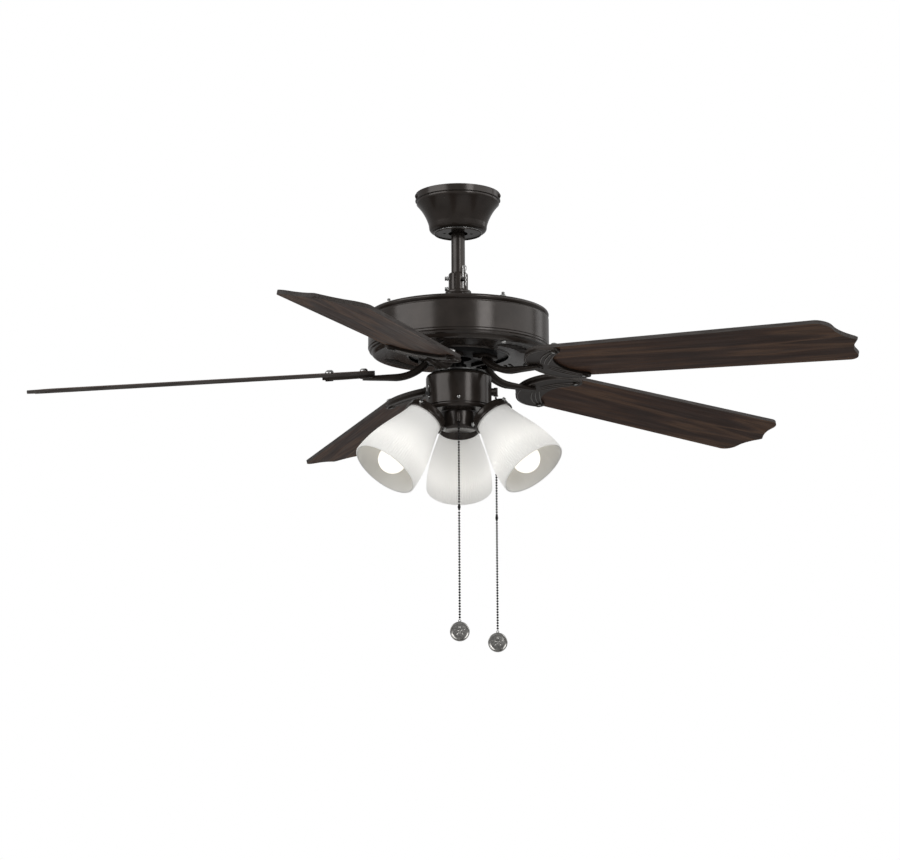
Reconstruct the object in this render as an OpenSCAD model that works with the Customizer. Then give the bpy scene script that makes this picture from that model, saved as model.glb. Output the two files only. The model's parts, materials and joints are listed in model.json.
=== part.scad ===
// Five-blade ceiling fan with a three-shade light kit, hung on a short downrod.
// Millimetres. Z is up and Z = 0 is the ceiling, so everything hangs below it.

/* [Blades] */
// Diameter swept by the blade tips
sweep_d = 1320.8; // [1250:0.4:1420]
// Width of a blade at its tip end
blade_tip_w = 128; // [110:1:140]
// Width of a blade at its root end
blade_root_w = 107; // [104:1:112]
// Thickness of a blade
blade_t = 5.5; // [4:0.5:7]
// Pitch of a blade about its own length, degrees
blade_pitch = 12.5; // [10:0.5:14]
// Droop of a blade from hub to tip, degrees
blade_droop = 3.4; // [3:0.1:4]
// Direction of the first blade, degrees from +X
first_blade_az = -34; // [-70:1:0]

/* [Canopy] */
// Diameter of the canopy at the ceiling
canopy_d = 132; // [130:0.5:136]
// Height of the canopy
canopy_h = 61; // [60.5:0.5:62]

/* [Downrod] */
// Outside diameter of the rod, a half-inch pipe
rod_od = 21.3; // [20.5:0.1:21.3]
// Inside diameter of the rod
rod_id = 16.2; // [14:0.1:17]

/* [Motor] */
// Diameter of the motor housing
motor_d = 279; // [276:1:290]
// Height of the plain band round the motor housing
band_h = 41.5; // [38:0.5:41.5]

/* [Switch housing] */
// Diameter of the switch housing
housing_d = 100.8; // [100.6:0.1:101.4]

/* [Light kit] */
// Tilt of each shade from straight down, degrees
shade_tilt = 39; // [37:0.5:40]
// Diameter of a shade at its rim
shade_d = 104.4; // [98:0.2:108]
// Length of a shade below its gallery
shade_len = 108; // [100:1:112]
// Thickness of the shade glass
glass_t = 3; // [2.5:0.1:3.5]

/* [Pull chains] */
// Diameter of the bead chain
chain_d = 3.2; // [2.4:0.1:3.4]
// Diameter of a round fob
fob_d = 29.4; // [24:0.2:32]
// Height of the centre of the fan's fob
fan_fob_z = -697; // [-760:0.5:-620]
// Height of the centre of the light's fob
light_fob_z = -684.5; // [-760:0.5:-620]

/* [Hidden] */
$fn = 96;

// Gap between two pieces that fit into each other and don't move
fit = 0.05;
sheet = 1.2; // thickness of the spun steel covers

// Colours
bronze = "#2b2522";
walnut = "#3a2a22";
steel = "#b5b5b0";
zinc = "#9a9a96";
opal = "#f3f1ea";
copper = "#a8602c";
black = "#1d1d1d";

// Canopy and hanger
canopy_r = canopy_d / 2;
slot_pitch = 88.9; // between the two ceiling-box screws, 3.5 inches
slot_r = 2.6;
slot_len = 12;
plate_t = 2; // steel of the hanger bracket
ear_x = 61; // outer face of the ears that take the canopy screws
ear_az = 13; // canopy screws stand this far either side of the X axis
canopy_screw_z = -5.5;
ball_r = 22;
ball_z = -25.5;
seat_z = -39; // top of the ring that the ball rests on
seat_r = 17.6;
ball_top_z = ball_z + 16;
ball_bottom_z = ball_z - 17;
ball_pin_r = 3;

// Downrod, yoke and motor shaft
rod_r = rod_od / 2;
rod_top_z = -11;
rod_end_z = -149;
yoke_r = 15;
yoke_top_z = -126;
yoke_flange_r = 20;
yoke_flange_z = -154.5;
yoke_base_z = -160.5;
clevis_z = -139;
clevis_az = -64;
clevis_r = 3.2;
clip_rho = 17.2; // distance from the axis to the hairpin clip
clip_wire_r = 0.8;
yoke_screw_zs = [-134, -150.8];
shaft_r = 8;
shaft_bore_r = 5;
shaft_top_z = -150.5;
shaft_end_z = -298;
collar_z = -283; // bottom of the shaft's shoulder

// Motor housing
motor_r = motor_d / 2;
cover_z = -161;
band_bottom_z = -242.5;
band_top_z = band_bottom_z + band_h;
bolt_rho = motor_r - 14.5;
bolt_az = -57.5;
bolt_r = 2.5;
deck_z = band_top_z + 11; // ledge inside the bead, where the bolts' nuts sit
pan_z = -257.5;
pan_mouth_r = 77;
vent_rho = 108;
vent_az = bolt_az + 25; // middle of a group of louvre slots

// Motor
rotor_r = 86;
rotor_bore_r = 79;
rotor_top_z = -194;
rotor_split_z = -224;
rotor_bottom_z = -254;
rotor_disc = 3;
stator_r = 78.3;
stator_top_z = -213;
stator_bottom_z = -235;
bearing_r = 16;
bearing_w = 9;
bearing_zs = [-207, -250]; // lower face of each bearing
running = 0.05; // radial clearance of the bearings on the shaft
flywheel_r = 60;
flywheel_z = -262;

// Blades and blade irons
blade_n = 5;
blade_z = -278.2; // height of the blades' lower plane at the fan's axis
root_u = 129; // distance from the axis to a blade's root
root_r = blade_root_w / 2;
tip_u = sweep_d / 2 / cos(blade_droop);
ogee_depth = 19; // from the point of the tip to its shoulders
ogee_w = 38; // half the width of the ogee
ogee_power = 1.8; // 1 would make its two halves straight
corner_r = 20;
iron_t = 4;
iron_r = 56; // round inner end of the iron's plate
iron_u = 185; // centre of that round end
notch_r = 44;
notch_u = 222;
horn = [202, 46.8]; // centre of a horn's round end
horn_r = 7.6;
rib_w = 6;
rib_h = 2;
arm_w = 17;
arm_bend = [100, -225]; // centre of the arm's bend, seen from the side
arm_in_r = 61;
arm_out_r = 71;
arm_end = [140, -293.5];
foot_t = 5;
foot_z = flywheel_z - foot_t - 0.02; // lower face of the foot, a hair below where it would touch
foot_w = 40;
foot_rho = [36, 62];
iron_screw = [50, 14];
iron_screw_r = 2.2;
blade_screw_at = [[146, 0], [199, 45.5], [199, -45.5]];
blade_screw_r = 2.5;
dome_r = 6.3;
dome_h = 4.5;

// Switch housing
housing_r = housing_d / 2;
housing_top_z = -287;
housing_bottom_z = -333.5;
shoulder_r = 6.5;
speed_az = 15;
speed_z = -311;
speed_rho = 59;
reverse_az = -154.5;
reverse_z = -317;
reverse_screw_dz = 8.5;
pan_screw_z = -330.4;
pan_screw_az = [-90, 30, 150];

// Light kit
shade_az = [-150, -30, 90];
gallery_rho = 61; // centre of a gallery's mouth
gallery_z = -360;
gallery_r = 31.8;
gallery_h = 13;
gallery_lip = 2.4; // the mouth reaches this far past the thumbscrews' frame
neck_r = 28.4; // neck of a shade
stud_r = 5;
socket_r = 17;
globe_r = 21.5;
globe_s = 87;
drum_r = 28.4;
drum_top_z = -347.6;
drum_bottom_z = -374;
thumb_s = -5;
thumb_az = [20, 75, 60]; // first thumbscrew of each gallery; the other two stand 120 degrees on
light_az = -90.7;
light_z = -359;
light_rho = 34;

// Pull chains
chain_r = chain_d / 2;
outlet_r = 3.1;
outlet_bore_r = 2.1;
outlet_up = 6.6; // the outlet's sleeve reaches this far above its bushing's axis
outlet_down = 6.6; // and this far below it
stem_len = 12.5;
fob_r = fob_d / 2;
fob_t = 3.2;
fob_ring = 2.4; // height of the small ring on top of a fob
connector_r = 2.3;
connector_len = 10;
fan_connector_z = -507;
light_connector_z = -497;

// Points along an arc about centre c
function arc(c, r, a0, a1, n = 8) = [for (i = [0:n]) let (a = a0 + (a1 - a0) * i / n) c + r * [cos(a), sin(a)]];
function unit(v) = v / norm(v);
// Right-hand normal of the step from a to b: it points inwards on an outline that runs down the outside
function right_normal(a, b) = let (d = unit(b - a)) [d[1], -d[0]];
// The path moved sideways by t
function moved(p, t) = [
    for (i = [0:len(p) - 1])
        let (
            n0 = right_normal(p[max(i - 1, 0)], p[max(i, 1)]),
            n1 = right_normal(p[min(i, len(p) - 2)], p[min(i + 1, len(p) - 1)]),
            m = unit(n0 + n1)
        ) p[i] + m * t / (m * n1)
];
function reversed(p) = [for (i = [len(p) - 1:-1:0]) p[i]];

// A shell of revolution: the outline and its copy one wall thickness inside it
module spun(path, wall) {
    rotate_extrude() polygon(concat(path, reversed(moved(path, wall))));
}

module ring(r_out, r_in, z0, z1) {
    translate([0, 0, z0]) difference() {
        cylinder(r = r_out, h = z1 - z0);
        translate([0, 0, -1]) cylinder(r = r_in, h = z1 - z0 + 2);
    }
}

// A round bar along the ray at azimuth az and height z, from radius a to radius b
module spoke(az, z, a, b, r) {
    rotate([0, 0, az]) translate([a, 0, z]) rotate([0, 90, 0]) cylinder(r = r, h = b - a, $fn = 32);
}

// A screw that enters along a ray: the shank from a to b and a round head beyond b
module ray_screw(az, z, a, b, r, head_r, head_h) {
    spoke(az, z, a, b, r);
    spoke(az, z, b, b + head_h, head_r);
}

// A shallow dome of radius r and height h, standing on Z = 0
module dome(r, h) {
    cap_r = (r ^ 2 + h ^ 2) / (2 * h); // radius of the sphere that the dome is cut from
    rotate_extrude() polygon(concat([[0, 0]], arc([0, h - cap_r], cap_r, acos(r / cap_r), 90)));
}

// Places its children in the frame of a blade: X out along it, Z up from its lower face
module on_blade(i) {
    rotate([0, 0, first_blade_az + 360 * i / blade_n]) translate([0, 0, blade_z])
        rotate([0, blade_droop, 0]) rotate([-blade_pitch, 0, 0]) children();
}

// Places its children in the frame of a shade: Z out along its axis from the gallery's mouth
module on_shade(i) {
    rotate([0, 0, shade_az[i]]) translate([gallery_rho, 0, gallery_z])
        rotate([0, 180 - shade_tilt, 0]) children();
}

// ---- Hanger and canopy ----

module ceiling_slot(side) {
    for (dx = [-1, 1] * (slot_len / 2 - slot_r))
        translate([side * slot_pitch / 2 + dx, 0, -plate_t - 1]) cylinder(r = slot_r, h = plate_t + 2, $fn = 32);
    translate([side * slot_pitch / 2, 0, -plate_t / 2])
        cube([slot_len - 2 * slot_r, 2 * slot_r, plate_t + 2], center = true);
}

module hanger_bracket() {
    half_w = 18;
    ear_h = 10;
    leg_x = 33;
    leg_w = 32;
    seat_w = 44;
    wire_hole_r = 12;
    color(zinc) difference() {
        union() {
            translate([-ear_x, -half_w, -plate_t]) cube([2 * ear_x, 2 * half_w, plate_t]);
            for (side = [-1, 1]) {
                translate([side * (ear_x - plate_t / 2), 0, -ear_h / 2])
                    cube([plate_t, 2 * half_w, ear_h], center = true);
                translate([side * (leg_x - plate_t / 2), 0, (seat_z - plate_t) / 2])
                    cube([plate_t, leg_w, plate_t - seat_z], center = true);
            }
            translate([-leg_x, -seat_w / 2, seat_z - plate_t]) cube([2 * leg_x, seat_w, plate_t]);
        }
        for (side = [-1, 1]) ceiling_slot(side);
        translate([0, 0, -plate_t - 1]) cylinder(r = wire_hole_r, h = plate_t + 2);
        translate([0, 0, seat_z - plate_t - 1]) cylinder(r = seat_r, h = plate_t + 2);
        // The mouth that lets the rod in from one side
        translate([-rod_r - 1, 0, seat_z - plate_t - 1]) cube([rod_od + 2, seat_w, plate_t + 2]);
        for (az = [-ear_az, ear_az, 180 - ear_az, 180 + ear_az]) spoke(az, canopy_screw_z, 50, 70, 2 + fit);
    }
}

function canopy_path() = concat(
    [[canopy_r, 0], [canopy_r, -10], [canopy_r - 0.9, -11]],
    arc([canopy_r + 58.2, -canopy_h - 9.4], 81.6, 137, 165, 12),
    arc([canopy_r - 28.8, -canopy_h + 7.8], 7.8, 0, -90),
    [[canopy_r - 32.5, -canopy_h]]
);

module canopy() {
    color(bronze) difference() {
        spun(canopy_path(), sheet);
        for (az = [-ear_az, ear_az, 180 - ear_az, 180 + ear_az]) spoke(az, canopy_screw_z, 60, 70, 2.2);
    }
}

// A shallow cup that closes the canopy's mouth and hangs a little below it
module canopy_ring() {
    top_z = -canopy_h - 0.02;
    disc_t = 1.2;
    lip_r = canopy_r - 29.3;
    lip_h = 2.8;
    rod_hole_r = 15.2;
    hole_rho = 21;
    color(bronze) difference() {
        union() {
            ring(lip_r, rod_hole_r, top_z - disc_t, top_z);
            ring(lip_r, lip_r - 1, top_z - lip_h, top_z - disc_t / 2);
            ring(canopy_r - 33, canopy_r - 34.2, top_z - disc_t / 2, top_z + 3.4);
        }
        for (az = [5, 185]) rotate([0, 0, az]) translate([hole_rho, 0, top_z - 3]) cylinder(r = 2.2, h = 5);
        for (az = [-30, 150]) rotate([0, 0, az]) translate([hole_rho, 0, top_z - 3]) cylinder(r = 3.2, h = 5);
    }
}

module canopy_screws() {
    color(bronze) for (az = [-ear_az, ear_az, 180 - ear_az, 180 + ear_az])
        ray_screw(az, canopy_screw_z, 56, canopy_r + 0.1, 2, 3.6, 2);
}

module hanger_ball() {
    top_a = asin((ball_top_z - ball_z) / ball_r);
    bottom_a = asin((ball_bottom_z - ball_z) / ball_r);
    bore_r = rod_r + fit;
    outline = concat([[bore_r, ball_bottom_z]], arc([0, ball_z], ball_r, bottom_a, top_a, 24), [[bore_r, ball_top_z]]);
    color(black) difference() {
        rotate_extrude() polygon(outline);
        spoke(0, ball_z, -ball_r - 1, ball_r + 1, ball_pin_r + fit);
    }
}

module ball_pin() {
    color(steel) spoke(0, ball_z, -19.5, 19.5, ball_pin_r);
}

module downrod() {
    color(bronze) difference() {
        ring(rod_r, rod_id / 2, rod_end_z, rod_top_z);
        spoke(0, ball_z, -rod_od, rod_od, ball_pin_r + fit);
        spoke(clevis_az, clevis_z, -rod_od, rod_od, clevis_r + fit);
    }
}

// ---- Yoke ----

module yoke() {
    shaft_seat_z = rod_end_z - 1;
    color(bronze) difference() {
        union() {
            translate([0, 0, yoke_base_z]) cylinder(r = yoke_r, h = yoke_top_z - yoke_base_z - 2);
            translate([0, 0, yoke_top_z - 2]) cylinder(r1 = yoke_r, r2 = yoke_r - 2, h = 2);
            translate([0, 0, yoke_base_z]) cylinder(r = yoke_flange_r, h = yoke_flange_z - yoke_base_z);
        }
        translate([0, 0, shaft_seat_z]) cylinder(r = rod_r + fit, h = 50);
        translate([0, 0, yoke_base_z - 1]) cylinder(r = shaft_r + fit, h = 30);
        spoke(clevis_az, clevis_z, -yoke_r - 2, yoke_r + 2, clevis_r + fit);
        for (z = yoke_screw_zs) spoke(180, z, 5, yoke_r + 2, 2 + fit);
    }
}

module clevis_pin() {
    color(steel) difference() {
        union() {
            spoke(clevis_az, clevis_z, -yoke_r - 0.1, clip_rho + 2.4, clevis_r);
            spoke(clevis_az, clevis_z, -yoke_r - 3.1, -yoke_r - 0.1, 5);
        }
        rotate([0, 0, clevis_az]) translate([clip_rho, 0, clevis_z - 5])
            cylinder(r = clip_wire_r + 0.2, h = 10, $fn = 24);
    }
}

module hairpin_clip() {
    half = 2.6; // half the distance between the two legs
    loop_z = yoke_top_z + 5;
    leg_end_z = yoke_flange_z + 1.2;
    color(steel) rotate([0, 0, clevis_az]) translate([clip_rho, half, loop_z]) {
        rotate([90, 0, 90]) rotate_extrude(angle = 180) translate([half, 0]) circle(r = clip_wire_r, $fn = 24);
        translate([0, -half, leg_end_z - loop_z]) cylinder(r = clip_wire_r, h = loop_z - leg_end_z, $fn = 24);
        translate([0, half, clevis_z - 9 - loop_z]) cylinder(r = clip_wire_r, h = loop_z - clevis_z + 9, $fn = 24);
    }
}

module yoke_screws() {
    color(steel) for (z = yoke_screw_zs) ray_screw(180, z, rod_r + 0.2, yoke_r + 1.8, 2, 3.6, 4.2);
}

// ---- Motor housing ----

function cover_path() = concat(
    [[shaft_r + 0.6, cover_z], [26, cover_z]],
    [[34, cover_z - 4.5], [motor_r - 26, deck_z + 2.6], [motor_r - 22, deck_z], [motor_r - 8, deck_z]],
    arc([motor_r - 3.8, deck_z - 4.4], 4, 130, -40),
    [[motor_r - 2.6, deck_z - 8.6], [motor_r - 2.6, deck_z - 10.4], [motor_r - 1.4, deck_z - 10.9]],
    [[motor_r - 1.4, deck_z - 16]]
);

module motor_cover() {
    color(bronze) difference() {
        spun(cover_path(), sheet);
        for (k = [0:3]) rotate([0, 0, bolt_az + 90 * k])
            translate([bolt_rho, 0, deck_z - 3]) cylinder(r = bolt_r + 0.2, h = 6);
    }
}

module motor_band() {
    color(bronze) ring(motor_r, motor_r - 1.3, band_bottom_z, band_top_z);
}

function pan_path() = concat(
    [[motor_r - 1.4, band_bottom_z + 6], [motor_r - 1.4, band_bottom_z - 0.4]],
    [[motor_r + 0.2, band_bottom_z - 0.5], [motor_r + 0.2, band_bottom_z - 3]],
    [[motor_r - 1.4, band_bottom_z - 4.4], [motor_r - 1.6, band_bottom_z - 7], [motor_r - 4, band_bottom_z - 8.2]],
    arc([motor_r - 12.5, pan_z + 8.2], 8.2, -8, -90),
    [[pan_mouth_r + 3, pan_z], [pan_mouth_r + 1, pan_z - 1.6], [pan_mouth_r, pan_z - 1.6]]
);

module motor_pan() {
    slots = 7;
    color(bronze) difference() {
        spun(pan_path(), sheet);
        for (k = [0:3]) {
            rotate([0, 0, bolt_az + 90 * k])
                translate([bolt_rho, 0, pan_z - 2]) cylinder(r = bolt_r + 0.2, h = 6);
            for (i = [0:slots - 1]) rotate([0, 0, vent_az + 90 * k + 6 * (i - (slots - 1) / 2)])
                translate([vent_rho, 0, pan_z]) rotate([0, 0, 35]) cube([24, 3, 8], center = true);
        }
    }
}

module housing_bolts() {
    color(steel) for (k = [0:3]) rotate([0, 0, bolt_az + 90 * k]) translate([bolt_rho, 0, 0]) {
        translate([0, 0, pan_z - 0.1]) cylinder(r = bolt_r, h = deck_z + 8.5 - pan_z, $fn = 32);
        translate([0, 0, pan_z - 0.1]) mirror([0, 0, 1]) dome(4.5, 3.4);
        difference() {
            translate([0, 0, deck_z + 0.1]) cylinder(r = 4.6, h = 3.9, $fn = 6);
            translate([0, 0, deck_z - 1]) cylinder(r = bolt_r + fit, h = 6, $fn = 32);
        }
    }
}

// ---- Motor ----

module motor_shaft() {
    color(steel) difference() {
        union() {
            translate([0, 0, shaft_end_z]) cylinder(r = shaft_r, h = shaft_top_z - shaft_end_z);
            translate([0, 0, collar_z]) cylinder(r = 12, h = 12);
        }
        translate([0, 0, shaft_end_z - 1]) cylinder(r = shaft_bore_r, h = shaft_top_z - shaft_end_z + 2);
        // Side window where the motor's leads leave the hollow shaft
        rotate([0, 0, 40]) translate([0, -3, -193]) cube([20, 6, 10]);
    }
}

module stator_core() {
    slots = 18;
    color(zinc) difference() {
        ring(stator_r, shaft_r + fit, stator_bottom_z, stator_top_z);
        for (i = [0:slots - 1]) rotate([0, 0, 360 * i / slots])
            translate([stator_r - 6, -1.5, stator_bottom_z - 1]) cube([10, 3, 40]);
    }
}

module stator_windings() {
    color(copper) for (z = [stator_top_z, stator_bottom_z - 8])
        rotate_extrude() translate([44, z]) square([26, 8]);
}

module rotor_half(split_z, disc_z, boss_z, bearing_z) {
    difference() {
        union() {
            ring(rotor_r, rotor_bore_r, min(split_z, disc_z), max(split_z, disc_z));
            translate([0, 0, min(disc_z, disc_z + sign(boss_z - disc_z) * rotor_disc)])
                cylinder(r = rotor_r, h = rotor_disc);
            translate([0, 0, min(disc_z, boss_z)]) cylinder(r = 20, h = abs(boss_z - disc_z));
        }
        translate([0, 0, bearing_z - (boss_z > disc_z ? 0.02 : 5)]) cylinder(r = bearing_r + fit, h = bearing_w + 5.02);
        translate([0, 0, disc_z - 30]) cylinder(r = 10, h = 60);
    }
}

module rotor_cover() {
    color(zinc) rotor_half(rotor_split_z, rotor_top_z, bearing_zs[0], bearing_zs[0]);
}

module rotor_base() {
    color(zinc) rotor_half(rotor_split_z, rotor_bottom_z, bearing_zs[1] + bearing_w, bearing_zs[1]);
}

module bearings() {
    color(steel) for (z = bearing_zs) ring(bearing_r, shaft_r + running, z, z + bearing_w);
}

module flywheel() {
    color(black) difference() {
        ring(flywheel_r, 20, flywheel_z, rotor_bottom_z);
        for (i = [0:blade_n - 1], side = [-1, 1]) rotate([0, 0, first_blade_az + 360 * i / blade_n])
            translate([iron_screw[0], side * iron_screw[1], flywheel_z - 1])
                cylinder(r = iron_screw_r + fit, h = 20, $fn = 32);
    }
}

// ---- Blades ----

// Half of a blade's tip, from its point to its long edge
function tip_half() = concat(
    [for (i = [0:7]) let (v = ogee_w * i / 8) [tip_u - ogee_depth * (1 - (1 - v / ogee_w) ^ ogee_power), v]],
    arc([tip_u - ogee_depth - corner_r, blade_tip_w / 2 - corner_r], corner_r, 0, 90)
);

function blade_outline() = concat(
    tip_half(),
    arc([root_u + root_r, 0], root_r, 90, 270, 24),
    reversed([for (p = tip_half()) if (p[1] > 0) [p[0], -p[1]]])
);

module blade(i) {
    color(walnut) on_blade(i) difference() {
        linear_extrude(height = blade_t) polygon(blade_outline());
        for (p = blade_screw_at) translate([p[0], p[1], -1]) cylinder(r = blade_screw_r + 0.1, h = blade_t + 2, $fn = 32);
    }
}

// The arm seen from the side: out from under the flywheel, down round the bend, then straight
function arm_outline() = concat(
    arc(arm_bend, arm_out_r, 220, 270, 12),
    [arm_end, [arm_end[0], arm_bend[1] - arm_in_r]],
    arc(arm_bend, arm_in_r, 270, 218, 12)
);

module iron_arm() {
    rotate([90, 0, 0]) translate([0, 0, -arm_w / 2]) linear_extrude(height = arm_w) polygon(arm_outline());
    translate([foot_rho[0], -foot_w / 2, foot_z])
        cube([foot_rho[1] - foot_rho[0], foot_w, foot_t]);
}

// The plate under a blade's root: a round inner end, a deep round notch and two horns
function iron_outline() = let (
    horn_a = atan2(horn[1], horn[0] - iron_u), // direction of a horn from the centre of the round end
    notch_a = atan2(horn[1], horn[0] - notch_u) // and from the centre of the notch
) concat(
    arc([iron_u, 0], iron_r, horn_a + 4, 360 - horn_a - 4, 32),
    arc([horn[0], -horn[1]], horn_r, -100, 40, 8),
    arc([notch_u, 0], notch_r, 360 - notch_a - 6, notch_a + 6, 20),
    arc(horn, horn_r, -40, 100, 8)
);

module iron_plate() {
    rib_u = root_u + 5;
    rib_run = horn - [rib_u, 0];
    translate([0, 0, -iron_t]) linear_extrude(height = iron_t) polygon(iron_outline());
    // A rib runs from the arm to each horn
    for (side = [-1, 1]) translate([rib_u, 0, -iron_t]) rotate([0, 0, side * atan2(rib_run[1], rib_run[0])])
        translate([0, -rib_w / 2, -rib_h]) cube([norm(rib_run), rib_w, rib_h + 1]);
    for (p = blade_screw_at) translate([p[0], p[1], -iron_t - 2.3]) cylinder(r = 6.2, h = 4);
}

module blade_iron(i) {
    color(bronze) difference() {
        union() {
            rotate([0, 0, first_blade_az + 360 * i / blade_n]) iron_arm();
            on_blade(i) iron_plate();
        }
        // Nothing of the iron stands above the blade's lower face
        on_blade(i) translate([root_u - 20, -70, 0.01 - fit]) cube([150, 140, 60]);
        on_blade(i) for (p = blade_screw_at) translate([p[0], p[1], -20])
            cylinder(r = blade_screw_r + fit, h = 40, $fn = 32);
        rotate([0, 0, first_blade_az + 360 * i / blade_n]) for (side = [-1, 1])
            translate([iron_screw[0], side * iron_screw[1], foot_z - 1])
                cylinder(r = iron_screw_r + fit, h = foot_t + 2, $fn = 32);
    }
}

module iron_screws() {
    color(bronze) for (i = [0:blade_n - 1], side = [-1, 1]) rotate([0, 0, first_blade_az + 360 * i / blade_n])
        translate([iron_screw[0], side * iron_screw[1], foot_z]) {
            cylinder(r = iron_screw_r, h = 12, $fn = 32);
            translate([0, 0, -3]) cylinder(r = 4, h = 3, $fn = 32);
        }
}

module blade_screws() {
    color(steel) for (i = [0:blade_n - 1], p = blade_screw_at) on_blade(i) translate([p[0], p[1], 0]) {
        translate([0, 0, -iron_t - 1.8]) cylinder(r = blade_screw_r, h = iron_t + 1.8 + blade_t + 1, $fn = 32);
        translate([0, 0, blade_t + 0.02]) dome(dome_r, dome_h);
    }
}

// ---- Switch housing ----

module housing_plate() {
    color(steel) {
        ring(42, shaft_r + fit, collar_z - 2, collar_z);
        ring(36, shaft_r + fit, housing_top_z + 0.02, collar_z - 2);
    }
}

module shaft_nut() {
    color(steel) translate([0, 0, housing_top_z - sheet - 7]) difference() {
        cylinder(r = 12, h = 7 - fit, $fn = 6);
        translate([0, 0, -1]) cylinder(r = shaft_r + fit, h = 10);
    }
}

function housing_path() = concat(
    [[shaft_r + 0.3, housing_top_z]],
    arc([housing_r - shoulder_r, housing_top_z - shoulder_r], shoulder_r, 90, 0),
    [[housing_r, housing_bottom_z]]
);

module switch_housing() {
    color(bronze) difference() {
        spun(housing_path(), sheet);
        spoke(speed_az, speed_z, 40, 60, 5.2);
        rotate([0, 0, reverse_az]) translate([housing_r, 0, reverse_z]) cube([10, 4.4, 11], center = true);
        for (side = [-1, 1]) spoke(reverse_az, reverse_z + side * reverse_screw_dz, 40, 60, 1.5);
        for (az = pan_screw_az) spoke(az, pan_screw_z, 40, 60, 1.6);
    }
}

module speed_switch() {
    color(black) rotate([0, 0, speed_az]) {
        translate([20, -13, speed_z - 11]) cube([25.6, 26, 22]);
        translate([45, 0, speed_z]) rotate([0, 90, 0]) cylinder(r = 5, h = 8);
    }
}

module capacitor() {
    color(black) rotate([0, 0, 110]) translate([22, -18, -322]) cube([14, 36, 22]);
}

module reverse_switch() {
    color(black) difference() {
        rotate([0, 0, reverse_az]) difference() {
            translate([36, -6, reverse_z - 11]) cube([10.8, 12, 22]);
            translate([43, -2.2, reverse_z - 6]) cube([10, 4.4, 12]);
        }
        for (side = [-1, 1]) spoke(reverse_az, reverse_z + side * reverse_screw_dz, 38, 50, 1.25 + fit);
    }
}

module reverse_slider() {
    color(black) rotate([0, 0, reverse_az]) {
        translate([43.4, -1.7, reverse_z - 5.2]) cube([8, 3.4, 5]);
        for (k = [0:2]) translate([51.4, -1.7, reverse_z - 5.2 + 1.8 * k]) cube([4.6, 3.4, 1.4]);
        translate([51, -1.7, reverse_z - 5.2]) cube([4, 3.4, 5]);
    }
}

module reverse_screws() {
    color(steel) for (side = [-1, 1])
        ray_screw(reverse_az, reverse_z + side * reverse_screw_dz, 40, housing_r + 0.1, 1.25, 2.4, 1.6);
}

// A bushing on the wall with an upright sleeve that the chain hangs from
module chain_outlet(az, z, wall_r, rho, neck_r) {
    rotate([0, 0, az]) difference() {
        union() {
            translate([wall_r + 0.1, 0, z]) rotate([0, 90, 0]) cylinder(r = 6, h = rho - wall_r - 2);
            translate([rho, 0, z - outlet_down]) cylinder(r = outlet_r, h = outlet_up + outlet_down);
            translate([rho, 0, z - outlet_down]) cylinder(r = outlet_r + 0.7, h = 1.5);
        }
        translate([wall_r - 1, 0, z]) rotate([0, 90, 0]) cylinder(r = neck_r + fit, h = 4.2);
        translate([rho, 0, z - outlet_down - 1]) cylinder(r = outlet_bore_r, h = outlet_up + outlet_down);
    }
}

module chain_outlets() {
    color(bronze) {
        chain_outlet(speed_az, speed_z, housing_r, speed_rho, 5);
        chain_outlet(light_az, light_z, drum_r, light_rho, 4.4);
    }
}

// ---- Light kit ----

function light_pan_path() = concat(
    [[housing_r - 1.4, pan_screw_z + 2.8], [housing_r - 1.4, housing_bottom_z - 0.1]],
    [[housing_r, housing_bottom_z - 0.1], [housing_r, housing_bottom_z - 2.6], [housing_r - 1.8, housing_bottom_z - 3.8]],
    arc([housing_r - 6.9, housing_bottom_z - 5], 5.1, 0, -75),
    [[31, drum_top_z + 1.4], [drum_r + 0.4, drum_top_z + 0.1], [22, drum_top_z + 0.1]]
);

module light_pan() {
    color(bronze) difference() {
        spun(light_pan_path(), sheet);
        for (i = [0:2]) on_shade(i) translate([0, 0, -40]) cylinder(r = stud_r + 0.15, h = 30);
        for (az = pan_screw_az) spoke(az, pan_screw_z, 40, 60, 1.5 + fit);
    }
}

module light_pan_screws() {
    color(steel) for (az = pan_screw_az) ray_screw(az, pan_screw_z, 45, housing_r + 0.1, 1.5, 2.8, 1.8);
}

module light_drum() {
    round_r = 6;
    path = concat(
        [[drum_r, drum_top_z]],
        arc([drum_r - round_r, drum_bottom_z + round_r], round_r, 0, -90),
        [[0, drum_bottom_z]]
    );
    color(bronze) difference() {
        spun(path, sheet);
        spoke(light_az, light_z, 20, 40, 4.6);
    }
}

module light_switch() {
    color(black) rotate([0, 0, light_az]) {
        translate([-10, -9, light_z - 8.5]) cube([32, 18, 17]);
        translate([21, 0, light_z]) rotate([0, 90, 0]) cylinder(r = 4.4, h = 10.4);
    }
}

// Along a shade's axis, distances from the gallery's mouth are negative towards the pan
module gallery(first_az) {
    path = concat(
        [[8, -gallery_h]],
        arc([gallery_r - 5, 5 - gallery_h], 5, -90, 0),
        [[gallery_r, gallery_lip]]
    );
    difference() {
        union() {
            spun(path, -sheet);
            translate([0, 0, gallery_lip - 1.2]) rotate_extrude() translate([gallery_r, 0]) circle(r = 0.9, $fn = 24);
            translate([0, 0, -22]) cylinder(r = 9, h = 22 - gallery_h + sheet);
            translate([0, 0, -32]) cylinder(r = stud_r, h = 12);
        }
        translate([0, 0, -33]) cylinder(r = 3, h = 30);
        for (k = [0:2]) spoke(first_az + 120 * k, thumb_s, 20, 40, 1.5 + fit);
    }
}

module galleries() {
    color(bronze) for (i = [0:2]) on_shade(i) gallery(thumb_az[i]);
}

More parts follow.
